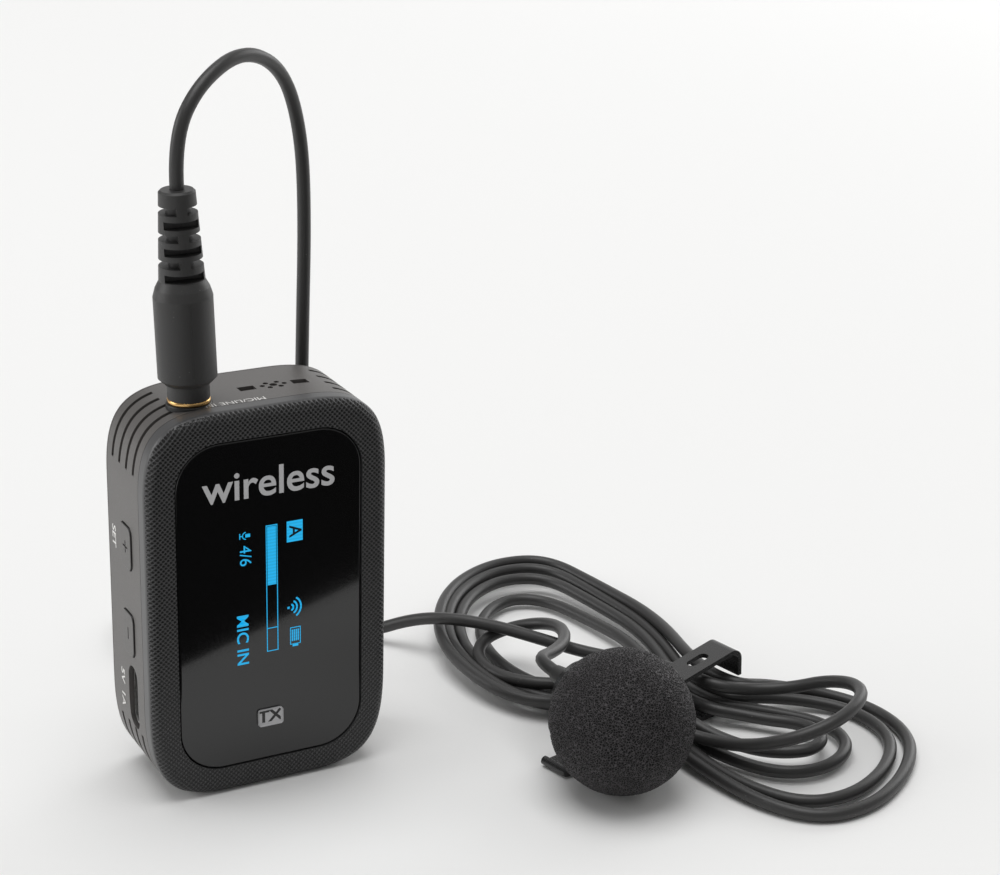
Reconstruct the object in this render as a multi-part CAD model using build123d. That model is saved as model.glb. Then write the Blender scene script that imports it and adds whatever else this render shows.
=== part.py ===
"""Wireless bodypack transmitter with a lavalier microphone on its cord.

Millimetres. X runs to the right across the pack's front, Y runs to its back, Z is up.
The origin is the middle of the footprint of the pack and its belt clip, on the surface it stands on.
"""

import os
from math import cos, pi, radians, sin, tan

from build123d import *

# Overall sizes of the pack
body_width = 38.3
body_height = 61.35
body_depth = 17.6
clip_projection = 5.4

# Outline: squarish corners that blend into the sides
corner_across = 12.6
top_corner_up = 12.6
bottom_corner_up = 15.0
corner_fullness = 0.765

# Shells
wall = 1.5
bezel_depth = 3.5
cover_depth = 0.72
seam_gap = 0.1
slip = 0.1
bezel_edge_radius = 1.6
cover_edge_radius = 0.45
lip_height = 1.3
lip_wall = 0.8

# Window and display
window_inset = 4.3
window_corner = 7.0
window_thickness = 1.1
window_recess = 0.12
window_gap = 0.12
window_edge = 0.35
ledge_width = 1.4
gasket_thickness = 0.5
display_width = 19.3
display_height = 26.7
display_thickness = 1.45
display_z = 32.0
active_width = 11.2
active_height = 22.4
frame_thickness = 1.1
ribbon_width = 8.0
ribbon_thickness = 0.25
ribbon_drop = 1.4
ribbon_rise = 2.0
ribbon_set_in = 0.6
ribbon_slot_height = 3.2

# Circuit board and what it carries
board_thickness = 1.0
board_clearance = 0.6
board_cut_gap = 0.4
board_gap = 2.0
shield_size = (13.0, 14.0, 1.6)
shield_in = 5.0
shield_corner = 0.6
shield_sheet = 0.2
antenna_size = (11.0, 0.8, 3.2)
antenna_gap = 0.8
antenna_up = 1.0

# Battery
battery_width = 27.0
battery_height = 33.0
battery_thickness = 4.4
battery_z = 28.0
battery_corner = 0.9
pad_thickness = 0.8
pad_margin = 2.0

# Bosses and screws
boss_radius = 2.2
boss_in = 5.3
screw_radius = 0.8
screw_hole_slack = 0.05
screw_head_radius = 1.5
screw_head_height = 0.45
screw_length = 5.0
screw_end_gap = 0.3
cross_width = 1.6
cross_slot = 0.4
cross_depth = 0.3
boss_set_back = 0.4

# Side buttons
button_height = 6.9
button_width = 4.6
button_corner = 1.3
button_gap = 0.12
button_proud = 0.22
button_travel = 0.3
button_edge = 0.2
flange_extra = 0.5
flange_thickness = 0.45
plunger_radius = 0.85
plunger_length = 0.8
plunger_slack = 0.06
switch_height = 4.4
switch_width = 3.4
switch_thickness = 1.7
switch_corner = 0.3
engraving_depth = 0.12
engraving_width = 0.28
engraving_span = 2.0
plus_z = 39.4
minus_z = 25.3
power_z = 39.4
button_y = -2.3
key_board_thickness = 0.6
key_board_edge = 0.4
key_board_reach = 5.0

# USB-C port
usb_z = 14.9
usb_width = 8.94
usb_height = 3.26
usb_length = 7.2
usb_wall = 0.3
usb_back = 0.8
usb_slot_width = 10.4
usb_slot_height = 3.9
usb_recess = 0.7
tongue_width = 6.7
tongue_thickness = 0.7
tongue_length = 5.2
tongue_corner = 0.2

# Jack and built-in microphone in the top wall
jack_x = -9.7
jack_y = -4.5
jack_bore = 1.8
jack_body_radius = 3.1
jack_length = 14.6
jack_floor = 0.5
jack_ring_radius = 3.4
jack_ring_rise = 0.15
jack_ring_sink = 0.8
top_row_y = -2.4
mic_holes_x = 4.4
mic_hole_radius = 0.42
mic_centre_hole_radius = 0.6
mic_hole_circle = 1.75
mic_hole_count = 6
mesh_radius = 2.6
mesh_thickness = 0.25
capsule_radius = 2.4
capsule_height = 2.0
slot_spacing = 8.5
slot_width = 2.6
slot_depth = 1.7
slot_sink = 1.1

# Vent grooves round the corners
groove_count = 4
groove_pitch = 2.95
groove_width = 0.85
groove_depth = 0.85
groove_reach_up = 9.6
groove_reach_across = 6.6

# Belt clip
clip_width = 14.0
clip_thickness = 1.5
clip_top = 57.5
clip_bottom = 12.0
hinge_z = 50.0
hinge_radius = 1.9
pin_radius = 0.8
pin_slack = 0.05
ear_thickness = 1.5
ear_gap = 0.2
bracket_thickness = 0.6
bracket_height = 12.0
bracket_corner = 1.2
clip_corner = 3.0
clip_overlap = 0.2
toe_gap = 0.9
toe_up = 1.0
toe_nose = 0.6
toe_round = 0.3
toe_slope = 3.2
toe_margin = 3.2
grip_count = 4
grip_pitch = 1.1
grip_down = 2.2
grip_depth = 0.25
grip_margin = 2.5
spring_gap = 0.4
spring_wire = 0.25
spring_turns = 5
spring_width = 4.6

# Plug
tip_radius = 1.75
plug_shaft = 14.0
flange_radius = 3.2
flange_height = 0.65
neck_radius = 3.1
neck_rise = 3.15
barrel_radius = 4.33
shoulder_rise = 16.25
barrel_rise = 18.65
barrel_bottom_bevel = 0.9
relief_base_radius = 3.35
relief_top_radius = 2.65
relief_core_radius = 1.8
slot_core = 1.0
relief_rise = 31.85
segment_count = 3
segment_pitch = 3.85
segment_first_rise = 19.4
front_slot_height = 1.15
side_slot_height = 1.1
side_slot_rise = 2.0
slot_rib = 1.5
slot_share = 0.86
seam_width = 0.14
seam_rise = 0.05
plug_lean = 2.0
plug_turn = -7.0

# Cord
cord_diameter = 2.1
lead_rise = 7.2
mic_lead_run = 5.6

# The cord's route from the plug: up and over, down behind the pack, round on the floor, to the hank
lead_route = [
    (-6.4, -2.2, 107.2),
    (2.6, 3.4, 110.6),
    (11.2, 9.2, 106.2),
    (15.5, 12.6, 96.0),
    (16.3, 13.0, 83.0),
    (15.6, 12.7, 62.0),
    (15.2, 13.0, 34.0),
    (14.9, 13.6, 14.0),
    (12.5, 17.0, 3.5),
    (5.5, 24.0, 1.15),
    (-3.5, 31.0, 1.1),
    (-8.6, 41.5, 1.15),
    (-5.0, 53.5, 1.1),
    (6.0, 59.0, 1.15),
    (17.5, 54.0, 1.1),
    (24.0, 41.0, 1.15),
    (30.0, 30.5, 1.2),
    (35.6, 28.0, 1.6),
    (39.8, 22.4, 5.4),
    (44.0, 16.8, 7.3),
]

# From the hank to the microphone
mic_route = [
    (55.8, -3.4, 6.9),
    (52.4, -6.6, 11.0),
    (46.4, -10.8, 14.2),
]

# The hank's outline and its two eyes, seen from above
hank_height = 7.2
hank_waist_top = 6.5
hank_outline = [
    (58.1, -19.1),
    (49.0, -13.0),
    (41.8, -6.0),
    (38.8, 4.0),
    (40.8, 17.0),
    (48.0, 31.0),
    (59.0, 40.0),
    (70.0, 42.5),
    (78.5, 37.0),
    (80.5, 22.0),
    (79.0, 4.0),
    (77.2, -13.5),
    (79.5, -21.5),
    (88.0, -25.5),
    (96.0, -32.0),
    (99.3, -42.0),
    (96.0, -52.0),
    (87.0, -60.0),
    (76.0, -63.0),
    (66.0, -60.5),
    (60.8, -52.0),
    (60.0, -40.0),
    (60.6, -28.0),
]
hank_holes = [(61.0, 18.0, 8.5, 14.5, 12.0), (80.0, -43.5, 6.5, 10.5, 28.0)]

# Tie clip, in its own frame: along its length, across it, up
tie_heading = 13.1
tie_pivot = (50.25, -25.05)
tie_width = 5.3
tie_sheet = 0.75
tie_handle = 9.5
tie_reach = 29.4
tie_pivot_z = 4.3
tie_pin_radius = 0.7
tie_hook_top = 11.0
tie_hook_drop = 5.0
tie_hook_radius = 1.7
tie_bend_at = -1.2
tie_bend_rise = 1.6
tie_bend_radius = 3.0
tie_handle_end = 1.2
tie_handle_rise = 1.9
tie_floor_gap = 0.2
tie_slot_length = 4.2
tie_slot_width = 1.8
tie_slot_at = 21.5
tie_ear_height = 6.2
tie_ear_length = 4.6
tie_ear_sheet = 0.6
tie_side_gap = 0.15

# Microphone, on an axis that crosses the tie clip
mic_along = -5.8
mic_ahead = 10.4
mic_height = 11.9
mic_tilt = 8.9
mic_radius = 3.4
mic_front = 2.1
mic_rear = 12.0
grille_thickness = 0.5
holder_wall = 0.9
holder_front = 6.3
holder_rear = 11.4
holder_slack = 0.03
leg_half = 2.2
leg_low = 2.6
leg_shoulder = 5.8
leg_neck = -0.8
leg_back = 1.8
leg_edge = 0.7
leg_sink = 0.25
relief_length = 3.4
mic_relief_radius = 2.0
relief_wall = 0.2
foam_radius = 11.4
foam_gap = 0.3
foam_slack = 0.04
dent_down = 2.0

# Derived places
front_y = -(body_depth + clip_projection) / 2
rear_y = front_y + body_depth
clip_outer_y = rear_y + clip_projection
band_front_y = front_y + bezel_depth
band_rear_y = rear_y - cover_depth
half_width = body_width / 2
window_front_y = front_y + window_recess
window_rear_y = window_front_y + window_thickness
gasket_rear_y = window_rear_y + gasket_thickness
display_rear_y = gasket_rear_y + display_thickness
frame_front_y = max(display_rear_y + slip, band_front_y + slip)
frame_rear_y = frame_front_y + frame_thickness
board_front_y = frame_rear_y + board_gap - frame_thickness
board_rear_y = board_front_y + board_thickness
usb_y = board_rear_y + usb_height / 2 + slip / 2
cover_lip_front_y = band_rear_y - lip_height
battery_rear_y = band_rear_y - pad_thickness
battery_front_y = battery_rear_y - battery_thickness
inner_x = half_width - wall
flange_inner_x = inner_x - slip - flange_thickness
switch_outer_x = flange_inner_x - button_travel - slip
mesh_top = body_height - wall
jack_foot = body_height - wall - jack_length
plug_base_z = body_height + jack_ring_rise
plug_foot_z = plug_base_z + flange_height
plug_top_z = body_height + relief_rise


def pack_face(inset):
    """The pack's outline in X and Z, drawn in by an inset all round."""
    x = half_width - inset
    low, high = inset, body_height - inset
    across = corner_across - inset
    foot, head = low + bottom_corner_up - inset, high - top_corner_up + inset
    inner = x - across
    pulled = x - across * (1 - corner_fullness)
    low_pull = low + (foot - low) * (1 - corner_fullness)
    high_pull = high - (high - head) * (1 - corner_fullness)
    edges = [
        Line((-inner, low), (inner, low)),
        Bezier((inner, low), (pulled, low), (x, low_pull), (x, foot)),
        Line((x, foot), (x, head)),
        Bezier((x, head), (x, high_pull), (pulled, high), (inner, high)),
        Line((inner, high), (-inner, high)),
        Bezier((-inner, high), (-pulled, high), (-x, high_pull), (-x, head)),
        Line((-x, head), (-x, foot)),
        Bezier((-x, foot), (-x, low_pull), (-pulled, low), (-inner, low)),
    ]
    return Face(Wire(edges))


def slab(face, y_front, y_back):
    """A face drawn in X and Z, made solid between two depths."""
    return extrude(Plane.XZ.offset(-y_back) * face, y_back - y_front)


def block(x0, x1, y0, y1, z0, z1):
    """A plain box between two corners; the two X values may come in either order."""
    return Pos((x0 + x1) / 2, (y0 + y1) / 2, (z0 + z1) / 2) * Box(abs(x1 - x0), y1 - y0, z1 - z0)


def side_block(y, z, width, height, corner, x0, x1):
    """A rounded rectangle seen from the side, made solid between two X values in either order."""
    outline = RectangleRounded(width, height, corner)
    return extrude(Plane.YZ.offset(min(x0, x1)) * Pos(y, z) * outline, abs(x1 - x0))


def top_block(x, y, width, depth, z0, z1):
    """A rectangle seen from above, made solid between two heights."""
    return block(x - width / 2, x + width / 2, y - depth / 2, y + depth / 2, z0, z1)


def upright(x, y, radius, z0, z1):
    """A round bar standing between two heights."""
    return Pos(x, y, (z0 + z1) / 2) * Cylinder(radius, z1 - z0)


def rod_back(x, z, radius, y0, y1):
    """A round bar lying front to back."""
    return Pos(x, (y0 + y1) / 2, z) * Rot(90, 0, 0) * Cylinder(radius, y1 - y0)


def rod_across(y, z, radius, x0, x1):
    """A round bar lying left to right, between two X values in either order."""
    return Pos((x0 + x1) / 2, y, z) * Rot(0, 90, 0) * Cylinder(radius, abs(x1 - x0))


def boss_places():
    """Middles of the four screw bosses, in X and Z."""
    x = half_width - boss_in
    return [(sx * x, z) for sx in (-1, 1) for z in (boss_in, body_height - boss_in)]


def window_face(inset):
    """The window's outline, drawn in by an inset from the opening in the bezel."""
    width = body_width - 2 * (window_inset + inset)
    height = body_height - 2 * (window_inset + inset)
    return Pos(0, body_height / 2) * RectangleRounded(width, height, window_corner - inset)


def front_bezel():
    """The textured frame round the window, with a ledge that the window is glued to."""
    back = band_front_y - seam_gap
    ring = slab(pack_face(0), front_y, back)
    ring = fillet(ring.faces().sort_by(Axis.Y)[0].edges(), bezel_edge_radius)
    ring -= slab(window_face(0), front_y - 1, window_rear_y)
    ring -= slab(window_face(ledge_width), front_y - 1, back + 1)
    return ring


def display_window():
    """The glass over the display."""
    glass = slab(window_face(window_gap), window_front_y, window_rear_y)
    return fillet(glass.faces().sort_by(Axis.Y)[0].edges(), window_edge)


def display_gasket():
    """The foam frame between the glass and the display."""
    ring = Rectangle(display_width, display_height) - Rectangle(active_width, active_height)
    return slab(Pos(0, display_z) * ring, window_rear_y, gasket_rear_y)


def display_module():
    """The display panel."""
    outline = Pos(0, display_z) * Rectangle(display_width, display_height)
    panel = slab(outline, gasket_rear_y, display_rear_y)
    return chamfer(panel.edges().filter_by(Axis.Y), 0.4)


def ribbon_slot():
    """The gap in the frame that the display's ribbon drops through, in X and Z."""
    z_top = display_z - display_height / 2
    return Pos(0, z_top - ribbon_slot_height / 2) * Rectangle(ribbon_width + 1, ribbon_slot_height)


def display_frame():
    """The plate that carries the display on the band's bosses."""
    plate = slab(pack_face(wall + slip), frame_front_y, frame_rear_y)
    plate -= slab(ribbon_slot(), frame_front_y - 1, frame_rear_y + 1)
    plate -= upright(jack_x, jack_y, jack_body_radius + slip, jack_foot - 1, body_height)
    for x, z in boss_places():
        plate -= rod_back(x, z, boss_radius + slip, frame_front_y - 1, frame_rear_y + 1)
    return plate


def display_ribbon():
    """The flexible strip from the display's lower edge to the board."""
    top = display_z - display_height / 2
    turn = top - ribbon_drop
    front = display_rear_y - ribbon_set_in
    back = board_front_y
    t = ribbon_thickness
    end = top + ribbon_rise
    path = [(front, top), (front, turn), (back - t, turn), (back - t, end), (back, end)]
    path += [(back, turn - t), (front - t, turn - t), (front - t, top)]
    strip = make_face(Polyline(path, close=True))
    return extrude(Plane.YZ.offset(-ribbon_width / 2) * strip, ribbon_width)


def grooves():
    """The four parallel vents round each corner, as one cutter."""
    ring = None
    middle = (band_front_y + band_rear_y) / 2
    for i in range(groove_count):
        y = middle + (i - (groove_count - 1) / 2) * groove_pitch
        cut = slab(pack_face(-1), y - groove_width / 2, y + groove_width / 2)
        cut -= slab(pack_face(groove_depth), y - groove_width, y + groove_width)
        ring = cut if ring is None else ring + cut
    corners = None
    for side in (-1, 1):
        x_in, x_out = side * (half_width - groove_reach_across), side * (half_width + 2)
        for z0, z1 in ((-2, groove_reach_up), (body_height - groove_reach_up, body_height + 2)):
            corner = block(x_in, x_out, front_y, rear_y, z0, z1)
            corners = corner if corners is None else corners + corner
    return ring & corners


def mic_hole_places():
    """Middles of the built-in microphone's holes, with their radii."""
    places = [(mic_holes_x, top_row_y, mic_centre_hole_radius)]
    for i in range(mic_hole_count):
        angle = radians(i * 360 / mic_hole_count)
        x = mic_holes_x + mic_hole_circle * cos(angle)
        places.append((x, top_row_y + mic_hole_circle * 0.62 * sin(angle), mic_hole_radius))
    return places


def middle_band():
    """The side wall, with its bosses, vents and every opening."""
    band = slab(pack_face(0), band_front_y, band_rear_y)
    band -= slab(pack_face(wall), band_front_y - 1, band_rear_y + 1)
    inside = slab(pack_face(wall / 2), band_front_y, band_rear_y)
    for x, z in boss_places():
        band += rod_back(x, z, boss_radius, band_front_y + boss_set_back, cover_lip_front_y - slip) & inside
    for x, z in boss_places():
        band -= rod_back(x, z, screw_radius + screw_hole_slack, rear_y - screw_length - screw_end_gap, rear_y)
    band -= grooves()
    width, height = button_width + 2 * button_gap, button_height + 2 * button_gap
    for x, z in ((-half_width, plus_z), (-half_width, minus_z), (half_width, power_z)):
        band -= side_block(button_y, z, width, height, button_corner, x - 2, x + 2)
    end = usb_slot_height / 2 - 0.01
    band -= side_block(usb_y, usb_z, usb_slot_height, usb_slot_width, end, -half_width - 1, -inner_x + 1)
    band -= upright(jack_x, jack_y, jack_ring_radius, body_height - jack_ring_sink, body_height + 1)
    band -= upright(jack_x, jack_y, jack_bore + 0.5, body_height - wall - 1, body_height + 1)
    band -= upright(jack_x, jack_y, jack_body_radius + slip, jack_foot - 1, body_height - wall)
    for x, y, radius in mic_hole_places():
        band -= upright(x, y, radius, body_height - wall - 1, body_height + 1)
    for side in (-1, 1):
        x = mic_holes_x + side * slot_spacing / 2
        band -= top_block(x, top_row_y, slot_width, slot_depth, body_height - slot_sink, body_height + 1)
    return band


def rear_cover():
    """The back shell, with the lip that centres it in the band and holes for its screws."""
    plate = slab(pack_face(0), band_rear_y + seam_gap, rear_y)
    plate = fillet(plate.faces().sort_by(Axis.Y)[-1].edges(), cover_edge_radius)
    plate += slab(pack_face(wall + slip), cover_lip_front_y, band_rear_y + seam_gap)
    plate -= slab(pack_face(wall + slip + lip_wall), cover_lip_front_y - 1, band_rear_y + seam_gap)
    for x, z in boss_places():
        plate += rod_back(x, z, boss_radius, cover_lip_front_y, band_rear_y + seam_gap) & slab(
            pack_face(wall + slip), cover_lip_front_y - 1, rear_y
        )
        plate -= rod_back(x, z, screw_radius + screw_hole_slack, cover_lip_front_y - 1, rear_y + 1)
        plate -= rod_back(x, z, screw_head_radius + screw_hole_slack, rear_y - screw_head_height, rear_y + 1)
    return plate


def cover_screws():
    """Four screws, each with a round head and a cross recess."""
    group = []
    for x, z in boss_places():
        screw = rod_back(x, z, screw_radius, rear_y - screw_length, rear_y - screw_head_height)
        screw += rod_back(x, z, screw_head_radius, rear_y - screw_head_height, rear_y)
        for w, h in ((cross_width / 2, cross_slot / 2), (cross_slot / 2, cross_width / 2)):
            screw -= block(x - w, x + w, rear_y - cross_depth, rear_y + 1, z - h, z + h)
        group.append(screw)
    return Compound(group)


def button(side, z, marks):
    """A side button: cap, the flange that keeps it in, and its engraved sign."""
    outer = side * (half_width + button_proud)
    flange_out = side * (inner_x - slip)
    flange_in = side * flange_inner_x
    cap = side_block(button_y, z, button_width, button_height, button_corner, outer, flange_out)
    face = cap.faces().sort_by(Axis.X)[0 if side < 0 else -1]
    cap = fillet(face.edges(), button_edge)
    deep = outer - side * engraving_depth
    for width, height in marks:
        cap -= side_block(button_y, z, width, height, engraving_width / 2 - 0.01, deep, outer + side)
    width, height = button_width + 2 * flange_extra, button_height + 2 * flange_extra
    cap += side_block(button_y, z, width, height, button_corner, flange_out, flange_in)
    return cap


def plunger(side, z):
    """The switch's moving pin, which touches the back of its button."""
    x_out = side * flange_inner_x
    return rod_across(button_y, z, plunger_radius, x_out, x_out - side * (plunger_length + button_travel))


def key_switch(side, z):
    """The fixed half of a switch, with a well for its pin."""
    x_out = side * switch_outer_x
    x_in = x_out - side * switch_thickness
    case = side_block(button_y, z, switch_width, switch_height, switch_corner, x_in, x_out)
    well_in = side * (flange_inner_x - plunger_length - 2 * button_travel - slip)
    return case - rod_across(button_y, z, plunger_radius + plunger_slack, well_in, x_out + side)


def key_board(side, z_low, z_high):
    """A small upright board behind the buttons on one side."""
    x_out = side * (switch_outer_x - switch_thickness)
    x_in = x_out - side * key_board_thickness
    y_high = button_y + switch_width / 2 + key_board_edge
    return block(x_in, x_out, board_rear_y + slip, y_high, z_low, z_high)


def main_board():
    """The circuit board, clear of the bosses, the jack and the key boards."""
    board = slab(pack_face(wall + board_clearance), board_front_y, board_rear_y)
    for x, z in boss_places():
        board -= rod_back(x, z, boss_radius + board_cut_gap, board_front_y - 1, board_rear_y + 1)
    y0, y1 = board_front_y - 1, board_rear_y + 1
    reach = jack_body_radius + board_cut_gap
    board -= block(jack_x - reach, jack_x + reach, y0, y1, jack_foot - board_cut_gap, body_height)
    half = button_height / 2 + 1
    for side, z in ((-1, plus_z), (-1, minus_z), (1, power_z)):
        x_in = side * (switch_outer_x - switch_thickness - board_cut_gap)
        board -= block(x_in, side * (half_width + 1), y0, y1, z - half, z + half)
    return board


def shield_can():
    """The metal cover over the radio, open towards the board."""
    width, height, depth = shield_size
    x = inner_x - board_clearance - shield_in - width / 2
    z = body_height - wall - capsule_height - height
    y0, y1 = board_rear_y, board_rear_y + depth
    can = block(x - width / 2, x + width / 2, y0, y1, z - height / 2, z + height / 2)
    can = fillet(can.edges().filter_by(Axis.Y), shield_corner)
    w, h = width / 2 - shield_sheet, height / 2 - shield_sheet
    return can - block(x - w, x + w, y0 - 1, y1 - shield_sheet, z - h, z + h)


def antenna():
    """The folded strip aerial near the bottom edge of the board."""
    length, thickness, height = antenna_size
    half, gap = length / 2, antenna_gap / 2
    z = wall + board_clearance + antenna_up
    foot = block(-half, half, board_rear_y, board_rear_y + thickness, z, z + height)
    riser = block(-half, half, board_rear_y, board_rear_y + height, z, z + thickness)
    y0, y1 = board_rear_y - 1, board_rear_y + height + 1
    return foot + riser - block(-gap, gap, y0, y1, z + thickness, z + height + 1)


def battery():
    """The flat pouch cell."""
    w, h = battery_width / 2, battery_height / 2
    cell = block(-w, w, battery_front_y, battery_rear_y, battery_z - h, battery_z + h)
    return fillet(cell.edges(), battery_corner)


def battery_pad():
    """The foam pad that holds the cell against the back."""
    w, h = battery_width / 2 - pad_margin, battery_height / 2 - pad_margin
    return block(-w, w, battery_rear_y, band_rear_y, battery_z - h, battery_z + h)


def usb_shell():
    """The port's metal sleeve."""
    x0 = -half_width + usb_recess
    x1 = x0 + usb_length
    sleeve = side_block(usb_y, usb_z, usb_height, usb_width, usb_height / 2 - 0.01, x0, x1)
    width, height = usb_height - 2 * usb_wall, usb_width - 2 * usb_wall
    return sleeve - side_block(usb_y, usb_z, width, height, width / 2 - 0.01, x0 - 1, x1 - usb_back)


def usb_tongue():
    """The tongue with the contacts, inside the port."""
    x1 = -half_width + usb_recess + usb_length - usb_back
    return side_block(usb_y, usb_z, tongue_thickness, tongue_width, tongue_corner, x1 - tongue_length, x1)


def jack_socket():
    """The socket's moulded body under the top wall."""
    body = upright(jack_x, jack_y, jack_body_radius, jack_foot, body_height - wall)
    return body - upright(jack_x, jack_y, jack_bore + slip / 2, jack_foot + jack_floor, body_height)


def jack_ring():
    """The dark ring round the mouth of the jack."""
    low, high = body_height - jack_ring_sink, body_height + jack_ring_rise
    ring = upright(jack_x, jack_y, jack_ring_radius, low, high)
    ring = fillet(ring.faces().sort_by(Axis.Z)[-1].edges(), 0.3)
    return ring - upright(jack_x, jack_y, jack_bore + slip / 2, low - 1, high + 1)


def mic_mesh():
    """The dust mesh under the holes of the built-in microphone."""
    return upright(mic_holes_x, top_row_y, mesh_radius, mesh_top - mesh_thickness, mesh_top)


def mic_capsule():
    """The built-in microphone's can."""
    high = mesh_top - mesh_thickness
    can = upright(mic_holes_x, top_row_y, capsule_radius, high - capsule_height, high)
    return fillet(can.faces().sort_by(Axis.Z)[0].edges(), 0.3)


def hinge_y():
    """How far back the belt clip's pin lies."""
    return rear_y + bracket_thickness + ear_gap + hinge_radius


def clip_bracket():
    """The plate on the rear cover with two ears for the hinge pin."""
    reach = clip_width / 2 + ear_gap + ear_thickness
    half, radius = bracket_height / 2, hinge_radius
    plate = block(-reach, reach, rear_y, rear_y + bracket_thickness, hinge_z - half, hinge_z + half)
    plate = fillet(plate.edges().filter_by(Axis.Y), bracket_corner)
    for side in (-1, 1):
        x0, x1 = side * (clip_width / 2 + ear_gap), side * reach
        plate += rod_across(hinge_y(), hinge_z, radius, x0, x1)
        plate += block(x0, x1, rear_y + bracket_thickness / 2, hinge_y(), hinge_z - radius, hinge_z + radius)
    return plate - rod_across(hinge_y(), hinge_z, pin_radius, -reach - 1, reach + 1)


def clip_pin():
    """The belt clip's hinge pin."""
    reach = clip_width / 2 + ear_gap + ear_thickness
    return rod_across(hinge_y(), hinge_z, pin_radius, -reach, reach)


def belt_clip():
    """The sprung arm: barrel on the pin, long arm, thumb tab and inturned toe."""
    inner_y = clip_outer_y - clip_thickness
    half, radius = clip_width / 2, hinge_radius
    arm = block(-half, half, inner_y, clip_outer_y, clip_bottom, clip_top)
    arm = fillet(arm.edges().filter_by(Axis.Y), clip_corner)
    root_y, toe_y = inner_y + clip_overlap, rear_y + toe_gap
    low = clip_bottom + toe_up
    high = low + 2 * toe_nose
    side = [(root_y, clip_bottom + clip_overlap), (toe_y + toe_round, low), (toe_y, low + toe_nose)]
    side += [(toe_y + toe_round, high), (root_y, high + toe_slope)]
    toe = make_face(Polyline(side, close=True))
    arm += extrude(Plane.YZ.offset(toe_margin - half) * toe, clip_width - 2 * toe_margin)
    arm += rod_across(hinge_y(), hinge_z, radius, -half, half)
    arm += block(-half, half, hinge_y(), root_y, hinge_z - radius, hinge_z + radius)
    room = spring_width / 2 + spring_gap
    arm -= block(-room, room, rear_y, inner_y, hinge_z - radius - 1, hinge_z + radius + 1)
    for i in range(grip_count):
        z = clip_top - grip_down - i * grip_pitch
        w, deep = half - grip_margin, grip_depth
        arm -= block(-w, w, clip_outer_y - deep, clip_outer_y + 1, z - deep, z + deep)
    return arm - rod_across(hinge_y(), hinge_z, pin_radius + pin_slack, -half - 1, half + 1)


def coil_spring(wire, radius, turns, width):
    """A close coil along Z from the origin."""
    path = Helix(width / turns, width - wire * 2, radius)
    section = Plane(origin=path @ 0, z_dir=path % 0) * Circle(wire / 2)
    return sweep(section, path)


def clip_spring():
    """The torsion spring's coil round the pin."""
    radius = pin_radius + slip + spring_wire / 2
    coil = coil_spring(spring_wire, radius, spring_turns, spring_width)
    return Pos(-spring_width / 2 + spring_wire, hinge_y(), hinge_z) * Rot(0, 90, 0) * coil


def plug_tip():
    """The plug's first contact, with its waist and rounded nose."""
    low = plug_base_z - plug_shaft
    profile = [(0, 0), (0.7, 0), (1.45, 0.9), (1.1, 1.9), (tip_radius, 2.6), (tip_radius, 3.9), (0, 3.9)]
    return Pos(jack_x, jack_y, low) * revolve(Plane.XZ * make_face(Polyline(profile, close=True)), Axis.Z)


def plug_insulators():
    """Two plastic washers between the plug's contacts."""
    low = plug_base_z - plug_shaft
    return Compound([upright(jack_x, jack_y, tip_radius - 0.05, low + z, low + z + 0.6) for z in (3.9, 7.1)])


def plug_ring():
    """The plug's second contact."""
    low = plug_base_z - plug_shaft
    return upright(jack_x, jack_y, tip_radius, low + 4.5, low + 7.1)


def plug_sleeve():
    """The plug's third contact, with the gilt flange under the moulding."""
    low = plug_base_z - plug_shaft
    sleeve = upright(jack_x, jack_y, tip_radius, low + 7.7, plug_base_z)
    flange = upright(jack_x, jack_y, flange_radius, plug_base_z, plug_base_z + flange_height)
    return sleeve + fillet(flange.edges().filter_by(GeomType.CIRCLE), 0.25)


def on_plug(shape):
    """Puts a shape made round Z on the plug's leaning axis, above its flange."""
    place = Pos(jack_x, jack_y, plug_foot_z)
    return place * Rot(0, -plug_lean, 0) * Rot(0, 0, plug_turn) * shape


def plug_moulding():
    """The rubbery grip, neck and segmented strain relief, in one piece."""
    sunk = jack_ring_rise + flange_height
    neck, shoulder = neck_rise - sunk, shoulder_rise - sunk
    relief, top = barrel_rise - sunk, relief_rise - sunk
    first = segment_first_rise - sunk
    bevel = barrel_bottom_bevel
    slope = (relief_base_radius - relief_top_radius) / (top - relief)
    reach = barrel_radius + 1
    outline = [
        (0, 0),
        (neck_radius, 0),
        (neck_radius, neck),
        (barrel_radius - bevel, neck),
        (barrel_radius, neck + bevel),
        (barrel_radius, shoulder),
        ((barrel_radius * 2 + relief_base_radius) / 3 - 0.05, (shoulder + relief * 2) / 3 - 0.3),
        (relief_base_radius, relief),
        (relief_top_radius, top - 0.3),
        (relief_top_radius - 0.3, top),
        (0, top),
    ]
    body = revolve(Plane.XZ * make_face(Polyline(outline, close=True)), Axis.Z)
    seam = barrel_radius + seam_rise
    body += block(-seam_width / 2, seam_width / 2, -seam, seam, neck + bevel, shoulder)
    core = Pos(0, 0, top / 2) * Cylinder(relief_core_radius, top)
    for i in range(segment_count):
        z = first + i * segment_pitch
        half = (relief_base_radius - slope * (z - relief)) * slot_share
        low = z + side_slot_rise - side_slot_height / 2
        for side in (-1, 1):
            y_in, y_out = sorted((side * slot_core, side * reach))
            body -= block(-half, half, y_in, y_out, z - front_slot_height / 2, z + front_slot_height / 2)
            x_in, x_out = sorted((side * slot_rib / 2, side * reach))
            body -= block(x_in, x_out, -reach, reach, low, low + side_slot_height) - core
    return on_plug(body) - upright(jack_x, jack_y, neck_radius + 1, plug_base_z, plug_foot_z)


def on_tie(shape):
    """Puts a shape made along X, with its pivot over the origin, where the tie clip lies."""
    return Pos(*tie_pivot, 0) * Rot(0, 0, tie_heading) * shape


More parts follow.
